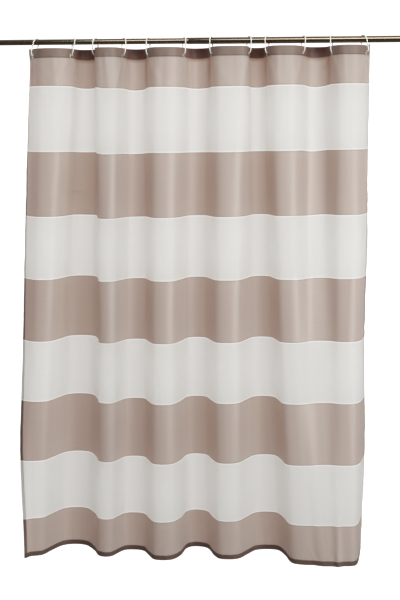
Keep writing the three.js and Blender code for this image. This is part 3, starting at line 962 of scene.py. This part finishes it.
class CURTAIN_OT_grommets(bpy.types.Operator):
    """Sets a pressed eyelet and washer at every hook"""

    bl_idname = "curtain.grommets"
    bl_label = "Grommets"

    def execute(self, context):
        hooks = context.scene.curtain_hooks
        sheet = cloth_sheet()
        material = hard_material("nickel_plate", hooks.nickel, 0.22, metallic=1.0, marks=0.5)
        # (radius, place along the axis) in millimetres, round the pressed pair
        profile = [
            (4.8, 1.6), (4.72, 0.2), (4.8, -0.7), (5.1, -1.15), (5.9, -1.35), (6.9, -1.2),
            (7.6, -0.85), (7.8, -0.62), (7.6, -0.5), (5.6, -0.5), (5.55, 1.35), (7.5, 1.35),
            (7.8, 1.5), (7.6, 1.75), (6.6, 2.05), (5.4, 2.1), (4.95, 1.95),
        ]
        up = Vector((0, 0, 1))
        beside = sheet.pitch / 14  # how far to each side the cloth's direction is taken
        bm = bmesh.new()
        for at, centre in zip(sheet.grommet_at, GROMMET_CENTRES):
            spots, _ = sheet.sample([at - beside, at, at + beside], [GROMMET_DROP] * 3)
            run = Vector(spots[2] - spots[0])
            run.z = 0
            run.normalize()
            axis = Vector((-run.y, run.x, 0))
            turned = Matrix((up, axis, run)).transposed().to_4x4()
            spot = Vector((centre.x, spots[1][1], centre.z))
            place = Matrix.Translation(spot) @ turned
            ring = [place @ Vector((r * MM, y * MM, 0)) for r, y in profile]
            spin_closed(bm, ring, spot, axis, steps=40)
        bmesh.ops.recalc_face_normals(bm, faces=bm.faces)
        piece = finish_piece("grommets", bm, material, "curtain", angle=50)
        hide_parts(*GROMMET_NAMES, *WASHER_NAMES)
        gathers(piece)
        return {"FINISHED"}


class CURTAIN_OT_hooks(bpy.types.Operator):
    """Bends the twelve open ring hooks"""

    bl_idname = "curtain.hooks"
    bl_label = "Hooks"

    def execute(self, context):
        hooks = context.scene.curtain_hooks
        material = hard_material("hook_plastic", hooks.plastic, 0.3, marks=0.5, coat=0.3)
        for number in range(HOOKS):
            self.bend(number, hooks, material)
        return {"FINISHED"}

    def bend(self, number, hooks, material):
        """One hook, as wide, high and turned as its CAD node."""
        name = HOOK_NAMES[number]
        low, high = (Vector(c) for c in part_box(name))
        centre, size = (low + high) / 2, high - low
        wire = hooks.wire
        turn = math.asin(min(1, (size.x - wire) / HOOK_WIDTH))
        if number % 2 == 0:
            turn = -turn
        back = Vector((-math.sin(turn), math.cos(turn), 0))
        up = Vector((0, 0, 1))
        side = back.cross(up)
        radius = HOOK_WIDTH / 2
        straight = HOOK_HEIGHT - HOOK_WIDTH
        top = centre + up * (straight / 2)
        bottom = centre - up * (straight / 2)
        mouth = centre + back * radius - up * (straight * 0.05)  # a little below the middle
        start, end = mouth + up * (hooks.mouth / 2), mouth - up * (hooks.mouth / 2)
        flat = Matrix((back, side, up)).transposed().to_4x4()
        bm = bmesh.new()

        def rim(verts):
            """The edges between a ring's vertices."""
            return [e for e in bm.edges if all(v in verts for v in e.verts)]

        def push(verts, move):
            """Extrudes a ring straight on."""
            out = bmesh.ops.extrude_edge_only(bm, edges=rim(verts))
            fresh = [g for g in out["geom"] if isinstance(g, bmesh.types.BMVert)]
            bmesh.ops.translate(bm, verts=fresh, vec=move)
            return fresh

        def sweep(verts, cent):
            """Carries a ring half a turn round an arch."""
            out = bmesh.ops.spin(
                bm, geom=verts + rim(verts), cent=cent, axis=side, angle=math.pi, steps=30
            )
            return [g for g in out["geom_last"] if isinstance(g, bmesh.types.BMVert)]

        def round_end(verts, way):
            """A rounded end on an open ring, in steps of (length, radius) over the wire's radius."""
            middle = sum((v.co for v in verts), Vector()) / len(verts)
            for step, scale in ((0.25, 1.12), (0.31, 1.0), (0.275, 0.72), (0.125, 0.35)):
                move = way * (wire / 2 * step)
                verts = push(verts, move)
                middle = middle + move
                for v in verts:
                    v.co = middle + (v.co - middle).normalized() * (wire / 2 * scale)
            bmesh.ops.contextual_create(bm, geom=verts)

        first = bmesh.ops.create_circle(
            bm, segments=14, radius=wire / 2, matrix=Matrix.Translation(start) @ flat
        )["verts"]
        ring = push(first, top + back * radius - start)
        ring = sweep(ring, top)
        ring = push(ring, bottom - top)
        ring = sweep(ring, bottom)
        ring = push(ring, end - (bottom + back * radius))
        round_end(ring, up)
        round_end(first, -up)
        bmesh.ops.remove_doubles(bm, verts=bm.verts, dist=1e-6)
        hole = GROMMET_CENTRES[number].z
        for v in bm.verts:  # the hook hangs a little aslant from its grommet
            v.co.x += HOOK_LEANS[number] * MM * (v.co.z - hole) / -hole
        bmesh.ops.recalc_face_normals(bm, faces=bm.faces)
        piece = finish_piece(f"{name}_fine", bm, material, body_with(name))
        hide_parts(name)


class CURTAIN_OT_rod(bpy.types.Operator):
    """Turns the tubes, end caps and wall pads of the tension rod"""

    bl_idname = "curtain.rod"
    bl_label = "Tension rod"

    def execute(self, context):
        rod = context.scene.curtain_rod
        bronze = hard_material(
            "oil_rubbed_bronze", rod.bronze, 0.13, metallic=1.0, marks=0.3, coat=0.4,
            stretch=(0.05, 1, 1), grain=0.008,
        )
        cap = hard_material("cap_plastic", rod.dark_plastic, 0.38, marks=0.4)
        pad = hard_material("pad_rubber", rod.rubber, 0.75, marks=0.2)
        black = hard_material("inner_plastic", (0.03, 0.028, 0.026), 0.5, marks=0.3)
        steel = hard_material("spring_steel", (0.5, 0.5, 0.49), 0.3, metallic=1.0, marks=0.4)
        self.tube("inner_tube", INNER_TUBE / 2, 0.8 * MM, bronze)
        self.tube("outer_tube", OUTER_TUBE / 2, 0.6 * MM, bronze, lip=True)
        for name, tube in (("left_end_cap", INNER_TUBE), ("right_end_cap", OUTER_TUBE)):
            self.end_cap(name, tube / 2 / MM, cap)
        for name in ("left_wall_pad", "right_wall_pad"):
            self.wall_pad(name, pad)
        for name, finish in (
            ("mouth_bushing", black),
            ("inner_tube_plug", black),
            ("spring_stop", black),
            ("tension_spring", steel),
        ):
            part = frame["nodes"][name]
            part.data.materials.clear()
            part.data.materials.append(finish)
        return {"FINISHED"}

    def turned(self, node_name, profile, material, slot):
        """A part turned about the rod's axis from (x, radius) points, closed on itself."""
        bm = bmesh.new()
        spin_closed(bm, [(x, 0, r) for x, r in profile], (0, 0, 0), (1, 0, 0), steps=96)
        bmesh.ops.remove_doubles(bm, verts=bm.verts, dist=1e-7)
        bmesh.ops.recalc_face_normals(bm, faces=bm.faces)
        piece = finish_piece(f"{node_name}_fine", bm, material, body_with(node_name), angle=40)
        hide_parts(node_name)

    def tube(self, node_name, r, wall, material, lip=False):
        """A drawn tube with eased ends; the outer one has a rolled lip at its mouth."""
        low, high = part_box(node_name)
        x0, x1 = low[0], high[0]
        e = 0.25 * MM  # how far the ends are eased
        profile = [(x0, r - wall + e), (x0, r - e), (x0 + e, r)]
        if lip:
            profile = [
                (x0, r - wall + e), (x0, r - e * 1.2), (x0 + e, r - e * 0.2),
                (x0 + 4 * e, r), (x0 + 12 * e, r), (x0 + 14 * e, r - e * 0.5),
                (x0 + 18 * e, r - e * 0.5), (x0 + 20 * e, r),
            ]
        profile += [(x1 - e, r), (x1, r - e), (x1, r - wall + e), (x1 - e, r - wall)]
        profile += [(x0 + e, r - wall)]
        self.turned(node_name, profile, material, "bronze_metal")

    def from_wall(self, node_name, outline):
        """A profile in metres from (millimetres from the wall, radius) points."""
        low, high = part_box(node_name)
        edge, way = (high[0], -1) if node_name.startswith("right") else (low[0], 1)
        return [(edge + way * x * MM, r * MM) for x, r in outline]

    def end_cap(self, node_name, tube_r, material):
        """A flared end cap with a grip ring and a recessed pad seat."""
        outline = [
            (0, 17.3), (0, 18.4), (0.6, 19), (5.2, 19), (6, 18.6), (6.6, 17.4), (7.4, 16.3),
            (9, 15.2), (11.5, 14.6), (12, 14.2), (12.6, 14.2), (13.1, 14.5), (17, 14),
            (22, tube_r + 3.4), (24.2, tube_r + 2.7), (25.4, tube_r + 2), (26, tube_r + 1.1),
            (26, tube_r + 0.3), (5.8, tube_r + 0.3), (5.8, 2.5), (2.8, 2.5), (2.8, 17.3),
        ]
        self.turned(node_name, self.from_wall(node_name, outline), material, "dark_plastic")

    def wall_pad(self, node_name, material):
        """A rubber pad with a flat face on its wall."""
        outline = [(0, 0.01), (0, 15.6), (0.3, 16.4), (1, 17), (3.8, 17), (4, 16.8), (4, 0.01)]
        self.turned(node_name, self.from_wall(node_name, outline), material, "rubber")


class CURTAIN_OT_stage(bpy.types.Operator):
    """Sets the floor, lights and camera"""

    bl_idname = "curtain.stage"
    bl_label = "Stage"

    def execute(self, context):
        stage = context.scene.curtain_stage
        context.scene.view_settings.view_transform = "Standard"
        self.world(stage)
        self.floor(stage)
        self.lamp("key", (3.7, -3.0, -0.9), 2.0, 2.0, 22)
        self.lamp("front", (1.4, -3.5, 2.1), 3.0, 1.8, 29)
        self.camera(stage)
        return {"FINISHED"}

    def world(self, stage):
        """Soft light, mostly from behind the cloth, and white where the camera sees it."""
        world = bpy.data.worlds.new("studio")
        world.use_nodes = True
        tree = world.node_tree
        way = node(tree, "ShaderNodeTexCoord").outputs["Generated"]
        toward_back = node(tree, "ShaderNodeSeparateXYZ", Vector=way).outputs["Y"]
        glow = ramp(tree, toward_back, -0.5, 0.7, stage.front_glow, stage.back_glow, smooth=True)
        seen = node(tree, "ShaderNodeLightPath").outputs["Is Camera Ray"]
        set_inputs(
            tree,
            tree.nodes["Background"],
            Color=(1.03, 1, 0.995, 1),
            Strength=math_node(tree, "MAXIMUM", glow, seen),
        )
        bpy.context.scene.world = world

    def floor(self, stage):
        """A wide pale floor, white where the camera sees it."""
        bm = bmesh.new()
        bmesh.ops.create_grid(
            bm, x_segments=1, y_segments=1, size=8,
            matrix=Matrix.Translation((0.76, 0, stage.floor)),
        )
        mesh = bpy.data.meshes.new("floor")
        bm.to_mesh(mesh)
        bm.free()
        material, tree, shader = new_material("pale_floor")
        set_inputs(
            tree,
            shader,
            Base_Color=(0.2, 0.2, 0.2, 1),
            Roughness=0.8,
            Emission_Color=(1, 1, 1, 1),
            Emission_Strength=node(tree, "ShaderNodeLightPath").outputs["Is Camera Ray"],
        )
        mesh.materials.append(material)
        floor = bpy.data.objects.new("floor", mesh)
        bpy.context.scene.collection.objects.link(floor)

    def lamp(self, name, place, wide, tall, power):
        """A soft box that faces the middle of the cloth."""
        data = bpy.data.lights.new(name, "AREA")
        data.shape = "RECTANGLE"
        data.size, data.size_y = wide, tall
        data.energy, data.spread = power, math.radians(75)
        data.color = (0.92, 0.99, 1.0)
        lamp = bpy.data.objects.new(name, data)
        lamp.location = place
        toward = Vector((0.72, 0, -0.75)) - Vector(place)
        lamp.rotation_euler = toward.to_track_quat("-Z", "Y").to_euler()
        bpy.context.scene.collection.objects.link(lamp)

    def camera(self, stage):
        """A camera in front of the curtain, below the rod and tipped down at the hem."""
        place = (0.781, -3.494, -0.312)
        pitch, roll, turn = math.radians(9.43), math.radians(0.5), math.radians(0.4)
        ahead = Vector((0, math.cos(pitch), -math.sin(pitch)))
        right = Vector((1, 0, 0))
        down = Vector((0, -math.sin(pitch), -math.cos(pitch)))
        yaw = Matrix.Rotation(turn, 3, "Z")
        ahead, right, down = yaw @ ahead, yaw @ right, yaw @ down
        tipped = right * math.cos(roll) + down * math.sin(roll)
        under = down * math.cos(roll) - right * math.sin(roll)
        data = bpy.data.cameras.new("camera")
        data.lens, data.sensor_width = stage.lens, 36
        camera = bpy.data.objects.new("camera", data)
        turned = Matrix((tipped, -under, -ahead)).transposed().to_4x4()
        camera.matrix_world = Matrix.Translation(place) @ turned
        bpy.context.scene.collection.objects.link(camera)
        bpy.context.scene.camera = camera


class CURTAIN_PT_sidebar(bpy.types.Panel):
    """Buttons for every piece of the curtain"""

    bl_idname = "CURTAIN_PT_sidebar"
    bl_label = "Shower curtain"
    bl_space_type = "VIEW_3D"
    bl_region_type = "UI"
    bl_category = "Curtain"

    def draw(self, context):
        for operator in OPERATORS:
            self.layout.operator(operator.bl_idname)


SETTINGS = {
    "curtain_cloth": CurtainClothSettings,
    "curtain_hooks": CurtainHookSettings,
    "curtain_rod": CurtainRodSettings,
    "curtain_stage": CurtainStageSettings,
}
OPERATORS = (
    CURTAIN_OT_cloth,
    CURTAIN_OT_hems,
    CURTAIN_OT_stitching,
    CURTAIN_OT_grommets,
    CURTAIN_OT_hooks,
    CURTAIN_OT_rod,
    CURTAIN_OT_stage,
)


def register():
    """Registers the settings, operators and panel."""
    for name, group in SETTINGS.items():
        bpy.utils.register_class(group)
        setattr(bpy.types.Scene, name, PointerProperty(type=group))
    for operator in OPERATORS:
        bpy.utils.register_class(operator)
    bpy.utils.register_class(CURTAIN_PT_sidebar)


def unregister():
    """Takes the panel, operators and settings away."""
    bpy.utils.unregister_class(CURTAIN_PT_sidebar)
    for operator in reversed(OPERATORS):
        bpy.utils.unregister_class(operator)
    for name, group in reversed(SETTINGS.items()):
        delattr(bpy.types.Scene, name)
        bpy.utils.unregister_class(group)


def main():
    """Builds the curtain."""
    register()
    for operator in OPERATORS:
        group, name = operator.bl_idname.split(".")
        getattr(getattr(bpy.ops, group), name)()


if __name__ == "__main__":
    main()
